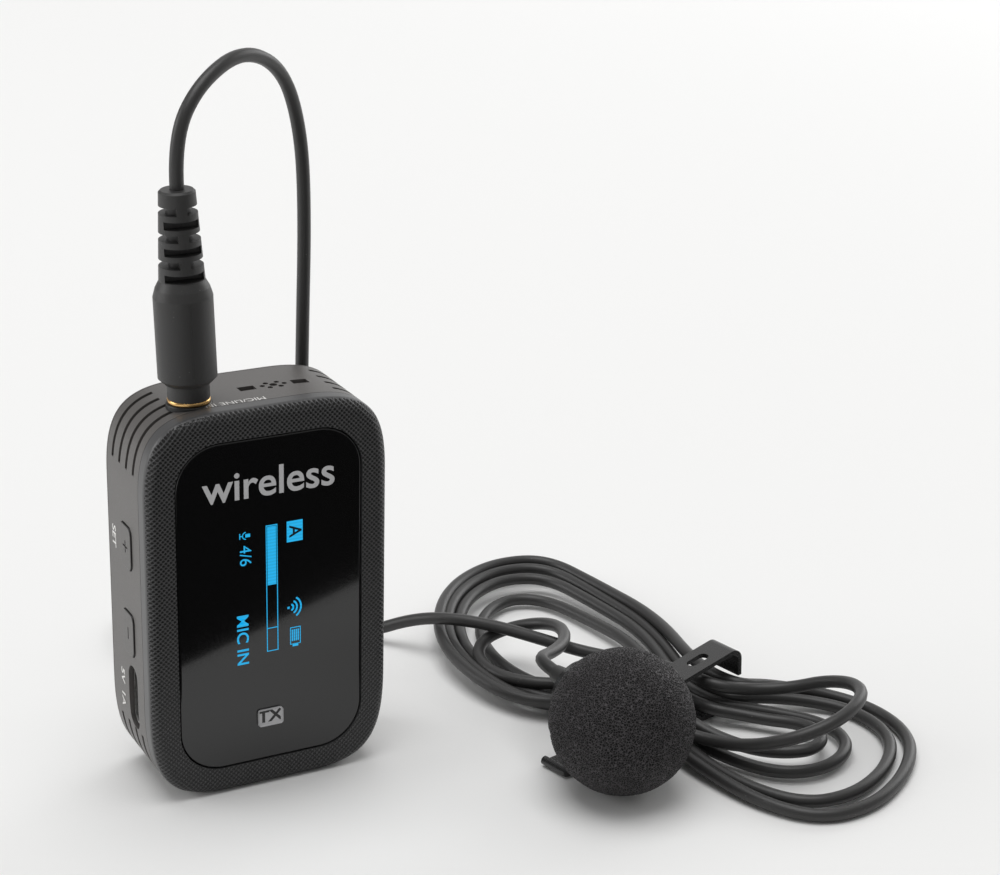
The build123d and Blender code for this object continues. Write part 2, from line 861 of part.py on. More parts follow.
def on_mic(shape):
    """Puts a shape made round Z, with Z pointing to the cord, on the microphone's axis."""
    return on_tie(Pos(mic_along, -mic_ahead, mic_height) * Rot(mic_tilt - 90, 0, 0) * shape)


def tie_profile(points, radii, width):
    """A bent strip of sheet seen from the side, made solid across a width."""
    line = FilletPolyline(points, radius=radii)
    strip = trace(line, tie_sheet)
    return extrude(Plane.XZ * strip, width / 2, both=True)


def tie_clip_base():
    """The lower half: jaw on the floor, rolled handle end and two ears for the pin."""
    z = tie_floor_gap + tie_sheet / 2
    jaw_end = tie_reach - tie_hook_radius - 0.6
    strip = block(-tie_handle, jaw_end, -tie_width / 2, tie_width / 2, z - tie_sheet / 2, z + tie_sheet / 2)
    roll = Pos(-tie_handle, 0, z + 0.35) * Rot(90, 0, 0) * Cylinder(0.72, tie_width)
    piece = strip + roll
    inner = tie_width / 2 + tie_side_gap
    outer = inner + tie_ear_sheet
    half = tie_ear_length / 2
    for side in (-1, 1):
        t0, t1 = sorted((side * inner, side * outer))
        ear = block(-half, half, t0, t1, z - tie_sheet / 2, tie_ear_height)
        ear = fillet(ear.edges().filter_by(Axis.Y).group_by(Axis.Z)[-1], 1.6)
        t0, t1 = sorted((side * (tie_width / 2 - 0.3), side * outer))
        piece += ear + block(-half, half, t0, t1, z - tie_sheet / 2, z + tie_sheet / 2)
    for i in range(5):
        s = jaw_end - 1.2 - i * 1.5
        piece += block(s - 0.3, s + 0.3, -tie_width / 2, tie_width / 2, z, z + tie_sheet / 2 + 0.3)
    piece -= Pos(0, 0, tie_pivot_z) * Rot(90, 0, 0) * Cylinder(tie_pin_radius, tie_width * 3)
    return on_tie(piece)


def tie_clip_jaw():
    """The upper half: handle, slotted strip and turned-down hook, with two cheeks on the pin."""
    top = tie_hook_top - tie_sheet / 2
    end = tie_reach - tie_sheet / 2
    bend = (tie_bend_at, tie_pivot_z + tie_bend_rise)
    points = [(tie_handle_end - tie_handle, bend[1] + tie_handle_rise), bend]
    points += [(end - 0.3, top + 0.2), (end, tie_hook_top - tie_hook_drop)]
    piece = tie_profile(points, [tie_bend_radius, tie_hook_radius], tie_width)
    for side in (-1, 1):
        t0, t1 = sorted((side * (tie_width / 2 - 0.55), side * tie_width / 2))
        cheek = block(-1.7, 1.7, t0, t1, tie_pivot_z - 1.5, bend[1] + 0.1)
        piece += fillet(cheek.edges().filter_by(Axis.Y).group_by(Axis.Z)[0], 1.3)
    slot = SlotOverall(tie_slot_length, tie_slot_width)
    piece -= extrude(Plane.XY.offset(tie_pivot_z) * Pos(tie_slot_at, 0) * slot, tie_hook_top)
    piece -= Pos(0, 0, tie_pivot_z) * Rot(90, 0, 0) * Cylinder(tie_pin_radius + pin_slack, tie_width * 3)
    return on_tie(piece)


def tie_clip_pin():
    """The tie clip's hinge pin."""
    inner = tie_width / 2 + tie_side_gap + tie_ear_sheet
    low = -(inner + 0.05 + tie_ear_sheet)
    pin = Pos(0, (low + inner) / 2, tie_pivot_z) * Rot(90, 0, 0) * Cylinder(tie_pin_radius, inner - low)
    return on_tie(pin)


def tie_clip_spring():
    """The tie clip's torsion spring, coiled on the pin between the cheeks."""
    width = tie_width - 1.7
    coil = coil_spring(0.3, tie_pin_radius + 0.25, 6, width)
    return on_tie(Pos(0, width / 2 - 0.3, tie_pivot_z) * Rot(90, 0, 0) * coil)


def mic_holder():
    """The ring round the microphone, on a leg that hangs on the tie clip's pin."""
    length = holder_rear - holder_front
    ring = Pos(0, 0, holder_front + length / 2) * Cylinder(mic_radius + holder_wall, length)
    ring -= Pos(0, 0, holder_rear) * Cylinder(mic_radius + holder_slack, mic_rear * 3)
    outer = tie_width / 2 + tie_side_gap + tie_ear_sheet + pin_slack
    top = mic_height + holder_front * sin(radians(mic_tilt)) - mic_radius - leg_sink
    side = [(-leg_half, leg_low), (leg_half, leg_low), (leg_half, leg_shoulder), (leg_neck, top)]
    side += [(mic_along - leg_back, top), (mic_along - leg_back, top - leg_edge)]
    leg = extrude(Plane.XZ.offset(outer) * make_face(Polyline(side, close=True)), tie_ear_sheet)
    leg -= Pos(0, 0, tie_pivot_z) * Rot(90, 0, 0) * Cylinder(tie_pin_radius, tie_width * 3)
    return on_mic(ring) + on_tie(leg)


def mic_body():
    """The microphone's turned case."""
    case = Pos(0, 0, (mic_rear - mic_front) / 2) * Cylinder(mic_radius, mic_rear + mic_front)
    case = chamfer(case.faces().sort_by(Axis.Z)[-1].edges(), 0.6)
    for z in (3.0, 4.0):
        case -= Pos(0, 0, z) * (Cylinder(mic_radius + 1, 0.35) - Cylinder(mic_radius - 0.3, 0.35))
    return on_mic(case)


def mic_grille():
    """The pierced disc over the microphone's mouth."""
    disc = Pos(0, 0, -mic_front - grille_thickness / 2) * Cylinder(mic_radius - 0.1, grille_thickness)
    for radius, count in ((0.0, 1), (1.2, 6), (2.4, 12)):
        for i in range(count):
            angle = radians(i * 360 / count)
            disc -= Pos(radius * cos(angle), radius * sin(angle), -mic_front) * Cylinder(0.28, 3)
    return on_mic(disc)


def mic_strain_relief():
    """The tapered sleeve where the cord enters the microphone."""
    cone = Cone(mic_relief_radius, cord_diameter / 2 + relief_wall, relief_length)
    return on_mic(Pos(0, 0, mic_rear + relief_length / 2) * cone)


def foam_windscreen():
    """The foam ball, hollow for the microphone and dented where it lies against the tie clip."""
    ball = on_mic(Sphere(foam_radius))
    well = foam_radius * 4
    mouth = -mic_front - grille_thickness - slip
    ball -= on_mic(Pos(0, 0, well / 2 + mouth) * Cylinder(mic_radius + foam_slack, well))
    ring_radius = mic_radius + holder_wall + foam_gap
    ball -= on_mic(Pos(0, 0, well / 2 + holder_front - foam_gap) * Cylinder(ring_radius, well))
    leg_side = tie_width / 2 + tie_side_gap + 2 * tie_ear_sheet + pin_slack + foam_gap
    ball -= on_tie(block(-tie_handle - well, tie_reach, -leg_side, well, -well, mic_height - dent_down))
    return ball


def corner_radius(before, corner, after):
    """The largest arc that two runs of a cord's route allow at the point between them."""
    a, b, c = Vector(*before), Vector(*corner), Vector(*after)
    turn = radians((b - a).get_angle(c - b))
    return 0.45 * min((b - a).length, (c - b).length) / tan(turn / 2)


def cord_tube(name, route):
    """A tube of the cord's diameter along straight runs joined by tangent arcs."""
    radii = [corner_radius(*route[i : i + 3]) for i in range(len(route) - 2)]
    print(name, "radii", [round(radius, 1) for radius in radii])
    path = FilletPolyline(route, radius=radii)
    tube = sweep(Plane(origin=path @ 0, z_dir=path % 0) * Circle(cord_diameter / 2), path)
    whole = path.length * pi * cord_diameter**2 / 4
    print(name, "length", round(path.length, 1), "volume", round(tube.volume, 1), "of", round(whole, 1))
    return tube


def plug_out(distance):
    """A point on the plug's axis, so far above the top of its moulding."""
    lean = radians(plug_lean)
    rise = plug_top_z - plug_foot_z + distance
    return (jack_x - rise * sin(lean), jack_y, plug_foot_z + rise * cos(lean))


def mic_out(distance):
    """A point on the microphone's axis, so far behind its strain relief."""
    tilt, heading = radians(mic_tilt), radians(tie_heading)
    back = mic_rear + relief_length + distance
    across = -mic_ahead + back * cos(tilt)
    x = tie_pivot[0] + mic_along * cos(heading) - across * sin(heading)
    y = tie_pivot[1] + mic_along * sin(heading) + across * cos(heading)
    return (x, y, mic_height + back * sin(tilt))


def cord_hank():
    """The outer shape of the tied hank: two flat open lobes with a waist in the tie clip's jaws."""
    outline = Face(Wire([Spline(*hank_outline, periodic=True)]))
    body = extrude(outline, hank_height, dir=(0, 0, 1))
    for x, y, across, along, turned in hank_holes:
        body -= extrude(Pos(x, y) * Rot(0, 0, turned) * Ellipse(across, along), hank_height)
    half = tie_width / 2 + 0.6
    over = tie_floor_gap + tie_sheet + 0.5
    body -= on_tie(block(-20, tie_reach, -half, half, -1, over))
    body -= on_tie(block(-20, tie_reach + 8, -half, half, hank_waist_top, 30))
    body -= on_tie(block(tie_reach - 2 * tie_sheet - 0.5, tie_reach + 8, -half, half, -1, 30))
    return body


def build():
    """Every piece, by its node's name."""
    lead = [plug_out(0), plug_out(lead_rise), *lead_route]
    to_mic = [*mic_route, mic_out(mic_lead_run), mic_out(0)]
    pieces = {
        "front_bezel": front_bezel(),
        "display_window": display_window(),
        "display_gasket": display_gasket(),
        "display_module": display_module(),
        "display_frame": display_frame(),
        "display_ribbon": display_ribbon(),
        "middle_band": middle_band(),
        "rear_cover": rear_cover(),
        "cover_screws": cover_screws(),
        "main_board": main_board(),
        "shield_can": shield_can(),
        "antenna": antenna(),
        "battery": battery(),
        "battery_pad": battery_pad(),
        "usb_shell": usb_shell(),
        "usb_tongue": usb_tongue(),
        "jack_socket": jack_socket(),
        "jack_ring": jack_ring(),
        "mic_mesh": mic_mesh(),
        "mic_capsule": mic_capsule(),
        "clip_bracket": clip_bracket(),
        "clip_pin": clip_pin(),
        "belt_clip": belt_clip(),
        "clip_spring": clip_spring(),
        "left_key_board": key_board(-1, minus_z - key_board_reach, plus_z + key_board_reach),
        "right_key_board": key_board(1, power_z - key_board_reach, power_z + key_board_reach),
        "plug_tip": plug_tip(),
        "plug_insulators": plug_insulators(),
        "plug_ring": plug_ring(),
        "plug_sleeve": plug_sleeve(),
        "plug_moulding": plug_moulding(),
        "tie_clip_base": tie_clip_base(),
        "tie_clip_jaw": tie_clip_jaw(),
        "tie_clip_pin": tie_clip_pin(),
        "tie_clip_spring": tie_clip_spring(),
        "mic_holder": mic_holder(),
        "mic_body": mic_body(),
        "mic_grille": mic_grille(),
        "mic_strain_relief": mic_strain_relief(),
        "foam_windscreen": foam_windscreen(),
        "cord_lead": cord_tube("cord_lead", lead),
        "cord_hank": cord_hank(),
        "mic_lead": cord_tube("mic_lead", to_mic),
    }
    signs = {"plus": [(engraving_span, engraving_width), (engraving_width, engraving_span)]}
    signs["minus"] = [(engraving_width, engraving_span)]
    signs["power"] = []
    for name, side, z in (("plus", -1, plus_z), ("minus", -1, minus_z), ("power", 1, power_z)):
        pieces[name + "_button"] = button(side, z, signs[name])
        pieces[name + "_plunger"] = plunger(side, z)
        pieces[name + "_switch"] = key_switch(side, z)
    return pieces


os.makedirs("parts", exist_ok=True)
for node, piece in build().items():
    export_step(piece, "parts/" + node + ".step")
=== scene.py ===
from math import cos, pi, radians, sin

import bpy
from mathutils import Matrix, Vector, noise


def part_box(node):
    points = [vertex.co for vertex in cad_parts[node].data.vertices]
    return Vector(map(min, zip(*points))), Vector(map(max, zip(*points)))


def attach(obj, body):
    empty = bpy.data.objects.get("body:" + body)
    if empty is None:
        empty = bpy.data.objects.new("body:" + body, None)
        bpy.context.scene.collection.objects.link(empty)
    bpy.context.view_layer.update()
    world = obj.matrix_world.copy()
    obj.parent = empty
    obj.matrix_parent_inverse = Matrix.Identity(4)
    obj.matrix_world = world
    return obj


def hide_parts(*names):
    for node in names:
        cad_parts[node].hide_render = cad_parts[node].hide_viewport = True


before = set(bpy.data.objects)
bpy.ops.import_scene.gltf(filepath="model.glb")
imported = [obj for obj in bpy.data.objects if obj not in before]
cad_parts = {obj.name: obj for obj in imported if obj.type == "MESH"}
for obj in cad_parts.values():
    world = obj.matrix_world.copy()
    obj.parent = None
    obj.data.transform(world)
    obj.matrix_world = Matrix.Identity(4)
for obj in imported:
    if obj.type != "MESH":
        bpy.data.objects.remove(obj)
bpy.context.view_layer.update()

bl_info = {
    "name": "Bodypack transmitter",
    "version": (1, 0, 0),
    "blender": (4, 5, 0),
    "location": "View3D > Sidebar > Transmitter",
    "description": "Finishes a wireless bodypack transmitter with its tied microphone cord",
    "category": "Object",
}

MM = 0.001
pack_body = "pack"

# The cord's route from the plug, down behind the pack and along the floor to the hank, in metres
lead_route = [
    (-0.010754, -0.0045, 0.09318),
    (-0.011006, -0.0045, 0.10037),
    (-0.0064, -0.0022, 0.1072),
    (0.0026, 0.0034, 0.1106),
    (0.0112, 0.0092, 0.1062),
    (0.0155, 0.0126, 0.096),
    (0.0163, 0.013, 0.083),
    (0.0156, 0.0127, 0.062),
    (0.0152, 0.013, 0.034),
    (0.0149, 0.0136, 0.014),
    (0.0125, 0.017, 0.0035),
    (0.0055, 0.024, 0.00115),
    (-0.0018, 0.031, 0.0011),
    (-0.0058, 0.0412, 0.00115),
    (-0.0026, 0.0525, 0.0011),
    (0.006, 0.059, 0.00115),
    (0.0175, 0.054, 0.0011),
    (0.0244, 0.0428, 0.00115),
    (0.0292, 0.034, 0.0012),
    (0.0346, 0.0278, 0.0018),
    (0.0398, 0.0224, 0.0054),
    (0.044, 0.0168, 0.0073),
    (0.05, 0.0104, 0.0073),
    (0.0548, 0.0024, 0.0072),
    (0.06, -0.0056, 0.0068),
]

# The widest and the narrowest turn of each lobe of the hank, clockwise from above, in millimetres
right_wide = [(84.0, -22.4), (92.2, -25.6), (97.6, -31.4), (98.3, -39.4), (95.6, -46.6)]
right_wide += [(88.3, -53.8), (78.3, -59.2), (68.6, -58.8), (62.8, -50.4), (60.4, -38.2)]
right_narrow = [(75.4, -27.2), (78.8, -30.6), (81.6, -33.6), (83.0, -37.4), (81.8, -41.2)]
right_narrow += [(78.4, -43.2), (74.8, -42.2), (71.6, -39.4), (68.8, -35.8), (65.8, -31.6)]
left_wide = [(50.0, -13.2), (44.4, -8.2), (41.4, 1.0), (41.4, 13.2), (46.5, 25.2)]
left_wide += [(54.8, 34.8), (66.0, 40.4), (76.2, 39.0), (79.0, 26.2), (80.8, 7.4)]
left_narrow = [(57.6, -9.6), (53.2, -3.6), (50.8, 4.0), (50.8, 12.6), (53.6, 21.0)]
left_narrow += [(58.6, 26.6), (64.2, 28.4), (68.8, 24.2), (71.0, 14.2), (72.4, 2.6)]

# Each turn: place and height in the jaws going right, how narrow and how raised the right lobe is,
# place and height in the jaws coming back, and the same two for the left lobe
turns = [
    ((21.4, 6.8), 0.60, 10.2, (8.0, 4.7), 0.00, 3.4),
    ((26.8, 5.4), 0.00, 0.0, (8.8, 2.4), 0.18, 2.8),
    ((25.4, 3.2), 0.22, 0.3, (11.0, 2.4), 0.42, 2.2),
    ((23.0, 3.0), 0.72, 0.6, (14.0, 2.5), 0.88, 0.6),
    ((20.6, 3.0), 1.00, 2.0, (13.0, 4.8), None, 0.0),
]

# Where the jaws meet in millimetres, which way they point, and how far each point of a lobe is drawn
# to their height
jaw_pivot = (50.25, -25.05)
jaw_heading = radians(13.1)
jaw_pull = [0.62, 0.22, 0, 0, 0, 0, 0, 0, 0.22, 0.62]

# Height of a turn that lies on the floor, and how far each turn runs straight on the two sides of the
# jaws, in millimetres
resting = 1.1
long_reach, short_reach = 5.0, 4.0

# The last stretch, which loops back over the lead to the microphone, in metres
mic_route = [
    (0.0556, -0.0106, 0.0046),
    (0.049, -0.0062, 0.004),
    (0.045, -0.0004, 0.0036),
    (0.0446, 0.0066, 0.0038),
    (0.048, 0.0114, 0.0046),
    (0.053, 0.0108, 0.0062),
    (0.0566, 0.007, 0.008),
    (0.0574, 0.0016, 0.0096),
    (0.0558, -0.0036, 0.0104),
    (0.0522, -0.0084, 0.0112),
    (0.0478, -0.0122, 0.0124),
    (0.0444, -0.0158, 0.0142),
    (0.04279, -0.0186, 0.01478),
    (0.04351, -0.021675, 0.014283),
]

# The camera: its place in metres, its turns, and its lens in widths of the sensor
camera_place = (-0.11997, -0.30204, 0.17448)
camera_yaw, camera_pitch, camera_roll = radians(28.545), radians(20.492), radians(1.532)
camera_reach = 2.2974
sensor_width = 36.0
nearest_seen = 0.01

# The stage, in metres and watts
floor_size = 6.0
floor_colour = (0.86, 0.86, 0.855)
paper_grain, paper_depth = 900.0, 0.00002
room_colour = (1.0, 0.995, 0.985, 1)
room_strength = 0.31

# Each light: its place, what it points at, its width and its power
lights = {
    "top_light": ((-0.1, 0.05, 2.4), (0.02, 0.05, 0.0), 1.9, 36.0),
    "left_light": ((-1.2, 0.55, 0.55), (0.0, 0.0, 0.03), 0.9, 7.0),
    "right_light": ((1.3, 0.5, 0.5), (0.05, 0.0, 0.02), 0.8, 5.0),
    "rear_light": ((0.62, 1.14, 0.55), (0.02, 0.0, 0.03), 1.2, 2.2),
}

# A black card just above the floor, seen only in reflections
card_colour = (0.004, 0.004, 0.004)
card_corners = [
    (-0.1, -0.9, 0.0004),
    (0.5, -0.9, 0.0004),
    (-0.1, -0.0063, 0.0004),
    (0.5, -0.2893, 0.0004),
]

# The foam ball: how finely it is divided, how far it is drawn in, how deep its pores and how wide their
# walls are, all three in pore sizes, and its broad unevenness in metres
ball_levels, quick_ball_levels = 7, 6
ball_inset, pore_depth, pore_wall = 0.3, 0.42, 0.45
swell_width, swell_height = 0.004, 0.00012

# The flat that the tie clip presses into the ball: how far before the jaws, how far below the middle
flat_before, flat_below = 0.0044, 0.0015

# Thickness of a print, and how far one stands in front of another, in metres
print_thick = 0.00002
letter_half = 0.00001
over_glass, over_print = 0.00001, 0.00003

# The display's signs: left, right, lower and upper edges in millimetres, and widths of lines
level_bar = (-0.55, 0.85, 33.24, 42.7)
level_frame, level_line = (-0.77, 1.08, 22.35, 42.91), 0.13
level_mark = (-0.77, 1.08, 26.12, 26.25)
battery_frame, battery_line = (3.0, 4.72, 22.75, 25.6), 0.12
battery_cap = (3.4, 4.32, 22.4, 22.75)
battery_bars, battery_bar_width, battery_bar_ends = (3.26, 3.58, 3.9, 4.22), 0.2, (23.3, 25.2)
letter_field = (2.58, 5.14, 39.62, 42.97)
signal_centre, signal_spread, signal_line = (3.0, 28.92), 0.9, 0.26
signal_arcs = [(0.55, 8), (1.15, 11), (1.8, 15)]
signal_dot = (2.6, 2.95, 28.75, 29.1)
mic_sign = [(-4.0, -3.25, 41.58, 42.12), (-4.95, -4.8, 41.4, 42.3), (-4.8, -4.5, 41.78, 41.92)]
mic_cup_centre, mic_cup_radius, mic_cup_ends = (-3.9, 41.85), 0.55, (1.75, 4.53)
mic_cup_line, mic_cup_count = 0.14, 15

# Words: what is written, the size of its letters, its place in metres, its stretch and its weight
display_words = [
    ("4/6", 0.0026, (-0.0041, 0.03865), 1.0, 0.0),
    ("MIC IN", 0.0026, (-0.00472, 0.02505), 1.06, 0.00003),
]
display_letter = ("A", 0.0028, (0.00386, 0.0413), 1.0, 0.00004)
window_word = ("wireless", 0.0064, (0.0, 0.0497), 1.0, 0.00008)
badge_word = ("TX", 0.0027, (-0.00039, 0.01146), 1.12, 0.00008)
side_words = [
    ("SET", 0.0021, (0.0033, 0.0390), 1.1, 0.00003),
    ("5V  1A", 0.002, (0.0014, 0.0147), 1.15, 0.00003),
]

# The word on the top, placed across and behind the bezel
top_word = ("MIC/LINE IN", 0.0017, (-0.0036, 0.0009), 1.05, 0.0)

# The badge's edges in millimetres, and the rounding of its corners in metres
badge_edges = (-2.41, 1.63, 10.11, 12.82)
badge_round, badge_steps = 0.00045, 6

# Finishes: how fine the patterns are, in cells or rows to a metre, and how high in metres
plastic_grain, plastic_depth = 9000.0, 0.000012
patch_scale = 90.0
rubber_grain, rubber_depth = 7000.0, 0.000015
lint_scale, lint_patches = 1500.0, 420.0
lint_colour = (0.16, 0.155, 0.15)
ridge_depth = 0.00022
brush_scale, brush_depth = (40.0, 40.0, 9000.0), 0.000006
picture_rows = 620.0


def in_jaws(along, across, height):
    """A point between the tie clip's jaws, in metres."""
    x = jaw_pivot[0] + along * cos(jaw_heading) - across * sin(jaw_heading)
    y = jaw_pivot[1] + along * sin(jaw_heading) + across * cos(jaw_heading)
    return (x * MM, y * MM, height * MM)


def lobe(wide, narrow, share, lift, height_in, height_out):
    """One turn round a lobe, between its widest and its narrowest, falling from the jaws to the floor."""
    points = []
    for i, (far, near) in enumerate(zip(wide, narrow)):
        x, y = (far[k] + (near[k] - far[k]) * share for k in (0, 1))
        z = resting + lift * sin(pi * (i + 0.5) / len(wide))
        end = height_in if i < len(wide) / 2 else height_out
        z += (end - z) * jaw_pull[i]
        points.append((x * MM, y * MM, z * MM))
    return points


def hank_turns():
    """The loose turns of the tied hank, which differ in size and fan out from the jaws."""
    points = []
    for i, (out, right, right_lift, back, left, left_lift) in enumerate(turns):
        points += [in_jaws(out[0], long_reach, out[1]), in_jaws(out[0], -short_reach, out[1])]
        points += lobe(right_wide, right_narrow, right, right_lift, out[1], back[1])
        points += [in_jaws(back[0], -long_reach, back[1]), in_jaws(back[0], short_reach, back[1])]
        if left is not None:
            points += lobe(left_wide, left_narrow, left, left_lift, back[1], turns[i + 1][0][1])
    return points




class TransmitterSettings(bpy.types.PropertyGroup):
    """Sizes and colours that a user may change."""

    cord_diameter: bpy.props.FloatProperty(
        name="Cord diameter",
        description="Thickness of the microphone cord",
        default=0.0021,
        unit="LENGTH",
        precision=4,
    )
    weave_pitch: bpy.props.FloatProperty(
        name="Texture pitch",
        description="Distance between the bezel's crossed ridges",
        default=0.00054,
        unit="LENGTH",
        precision=5,
    )
    pore_size: bpy.props.FloatProperty(
        name="Pore size",
        description="Distance between the foam's pores",
        default=0.00037,
        unit="LENGTH",
        precision=5,
    )
    shell_colour: bpy.props.FloatVectorProperty(
        name="Shell",
        description="Colour of the side band and the rear cover",
        subtype="COLOR",
        default=(0.096, 0.09, 0.086),
    )
    bezel_colour: bpy.props.FloatVectorProperty(
        name="Bezel",
        description="Colour of the textured bezel",
        subtype="COLOR",
        default=(0.018, 0.018, 0.0185),
    )
    rubber_colour: bpy.props.FloatVectorProperty(
        name="Rubber",
        description="Colour of the cord and the plug's grip",
        subtype="COLOR",
        default=(0.03, 0.0295, 0.0292),
    )
    foam_colour: bpy.props.FloatVectorProperty(
        name="Foam",
        description="Colour of the foam windscreen",
        subtype="COLOR",
        default=(0.016, 0.0145, 0.0155),
    )
    glow_colour: bpy.props.FloatVectorProperty(
        name="Display",
        description="Colour of the lit marks",
        subtype="COLOR",
        default=(0.008, 0.4, 0.76),
    )


def settings():
    """The sizes and colours now set in the scene."""
    return bpy.context.scene.transmitter


def deselect():
    """Leaves nothing selected."""
    bpy.ops.object.select_all(action="DESELECT")


def add(tree, kind, inputs=(), **facts):
    """A node with its facts set; inputs gives values or links by name or place."""
    made = tree.nodes.new(kind)
    for name, value in facts.items():
        setattr(made, name, value)
    for name, value in dict(inputs).items():
        if isinstance(value, bpy.types.NodeSocket):
            tree.links.new(value, made.inputs[name])
        else:
            made.inputs[name].default_value = value
    return made


def calculate(tree, operation, *values):
    """The result of one operation on values or links."""
    return add(tree, "ShaderNodeMath", dict(enumerate(values)), operation=operation).outputs[0]


def material(name, colour, roughness, **sockets):
    """A material with its shader's own sockets set; returns it, its tree and its shader."""
    made = bpy.data.materials.new(name)
    made.use_nodes = True
    tree = made.node_tree
    shader = tree.nodes["Principled BSDF"]
    shader.inputs["Base Color"].default_value = (*colour, 1)
    shader.inputs["Roughness"].default_value = roughness
    for socket, value in sockets.items():
        shader.inputs[socket.replace("_", " ")].default_value = value
    return made, tree, shader


def place_of(tree):
    """The place on the piece, in metres."""
    return add(tree, "ShaderNodeTexCoord").outputs["Object"]


def speckle(tree, vector, scale, detail=2.0, rough=0.5):
    """A fine noise, from 0 to 1."""
    inputs = {"Vector": vector, "Scale": scale, "Detail": detail, "Roughness": rough}
    return add(tree, "ShaderNodeTexNoise", inputs).outputs["Fac"]


def between(tree, fac, low, high, out_low, out_high):
    """A value moved from one range to another, and held inside it."""
    inputs = {"Value": fac, "From Min": low, "From Max": high, "To Min": out_low, "To Max": out_high}
    return add(tree, "ShaderNodeMapRange", inputs).outputs["Result"]


def paint(tree, shader, fac, first, second, socket="Base Color"):
    """Colours the surface between two colours, by a factor."""
    ramp = add(tree, "ShaderNodeValToRGB", {"Fac": fac})
    ramp.color_ramp.elements[0].color = (*first, 1)
    ramp.color_ramp.elements[1].color = (*second, 1)
    tree.links.new(ramp.outputs["Color"], shader.inputs[socket])


def gloss(tree, shader, fine, glossy, dull):
    """Lets the roughness follow a fine noise, whose values lie mostly from 0.3 to 0.7."""
    tree.links.new(between(tree, fine, 0.3, 0.7, glossy, dull), shader.inputs["Roughness"])


def relief(tree, shader, height, distance):
    """Raises the surface by a height from 0 to 1."""
    bump = add(tree, "ShaderNodeBump", {"Height": height, "Distance": distance, "Strength": 1.0})
    tree.links.new(bump.outputs["Normal"], shader.inputs["Normal"])


def shade(colour, factor):
    """A colour made lighter or darker."""
    return tuple(min(1.0, part * factor) for part in colour)


def moulded(name, colour, roughness, grain=plastic_grain, depth=plastic_depth, **sockets):
    """Moulded plastic or rubber: a fine grain, and colour and gloss that vary a little."""
    made, tree, shader = material(name, colour, roughness, **sockets)
    place = place_of(tree)
    fine = speckle(tree, place, grain, 3.0, 0.6)
    broad = speckle(tree, place, patch_scale, 4.0)
    paint(tree, shader, broad, shade(colour, 0.88), shade(colour, 1.12))
    gloss(tree, shader, fine, roughness - 0.05, roughness + 0.07)
    relief(tree, shader, fine, depth)
    return made


def gap_shaded(name, colour, roughness):
    """The keys' plastic, with painted shade on the slope round each cap, where the gap round each key
    lies.
    """
    made, tree, shader = material(name, colour, roughness)
    fine = speckle(tree, place_of(tree), plastic_grain, 3.0, 0.6)
    normal = add(tree, "ShaderNodeTexCoord").outputs["Normal"]
    across = calculate(tree, "ABSOLUTE", add(tree, "ShaderNodeSeparateXYZ", {0: normal}).outputs["X"])
    cap = between(tree, across, 0.8, 0.97, 0.0, 1.0)
    # Painted shade: the slope round each cap is painted much darker, as if in the shade of the gap round
    # the key
    paint(tree, shader, cap, shade(colour, 0.12), colour)
    gloss(tree, shader, fine, roughness - 0.05, roughness + 0.07)
    relief(tree, shader, fine, plastic_depth)
    return made


def dusty_rubber(name, colour, roughness):
    """Matte rubber with a few pale specks of lint."""
    made, tree, shader = material(name, colour, roughness)
    place = place_of(tree)
    fine = speckle(tree, place, rubber_grain, 3.0, 0.6)
    cells = add(tree, "ShaderNodeTexVoronoi", {"Vector": place, "Scale": lint_scale})
    dot = between(tree, cells.outputs["Distance"], 0.10, 0.17, 1.0, 0.0)
    rare = between(tree, speckle(tree, place, lint_patches, 1.0), 0.60, 0.70, 0.0, 0.55)
    paint(tree, shader, calculate(tree, "MULTIPLY", dot, rare), colour, lint_colour)
    gloss(tree, shader, fine, roughness - 0.05, roughness + 0.08)
    relief(tree, shader, fine, rubber_depth)
    return made


def crossed_ridges(name, colour, pitch):
    """Satin plastic whose front has two sets of fine ridges that cross, and whose lip is smooth; the pits
    are painted nearly black as shade, and the ridge tops and the lip lighter as highlight.
    """
    made, tree, shader = material(name, colour, 0.34)
    coordinates = add(tree, "ShaderNodeTexCoord")
    wave = pi / (2**0.5 * pitch)

    def valley(direction):
        """Nought on each ridge and one halfway between two."""
        inputs = {0: coordinates.outputs["Object"], 1: direction}
        line = add(tree, "ShaderNodeVectorMath", inputs, operation="DOT_PRODUCT").outputs["Value"]
        swung = calculate(tree, "SINE", calculate(tree, "MULTIPLY", line, wave))
        return calculate(tree, "ABSOLUTE", swung)

    facing = add(tree, "ShaderNodeSeparateXYZ", {0: coordinates.outputs["Normal"]}).outputs["Y"]
    front = between(tree, facing, -0.6, -0.35, 1.0, 0.0)
    pit_depth_and_shade = calculate(tree, "MULTIPLY", valley((1, 0, 1)), valley((1, 0, -1)))
    pit_depth_and_shade = calculate(tree, "MULTIPLY", between(tree, pit_depth_and_shade, 0.06, 0.62, 0.0, 1.0), front)
    height = between(tree, pit_depth_and_shade, 0.0, 1.0, 1.0, 0.0)
    # Painted light: the pits are painted nearly black as shade, and the ridge tops and the smooth lip
    # much lighter as highlight; the same pattern also raises the ridges
    paint(tree, shader, height, shade(colour, 0.04), shade(colour, 3.4))
    relief(tree, shader, height, ridge_depth)
    return made


def brushed(name, colour, roughness):
    """Metal with fine lines along its length."""
    made, tree, shader = material(name, colour, roughness, Metallic=1.0)
    lines = add(tree, "ShaderNodeMapping", {"Vector": place_of(tree), "Scale": brush_scale})
    fine = speckle(tree, lines.outputs["Vector"], 1.0, 3.0)
    paint(tree, shader, fine, shade(colour, 0.85), shade(colour, 1.1))
    gloss(tree, shader, fine, roughness - 0.06, roughness + 0.1)
    relief(tree, shader, fine, brush_depth)
    return made


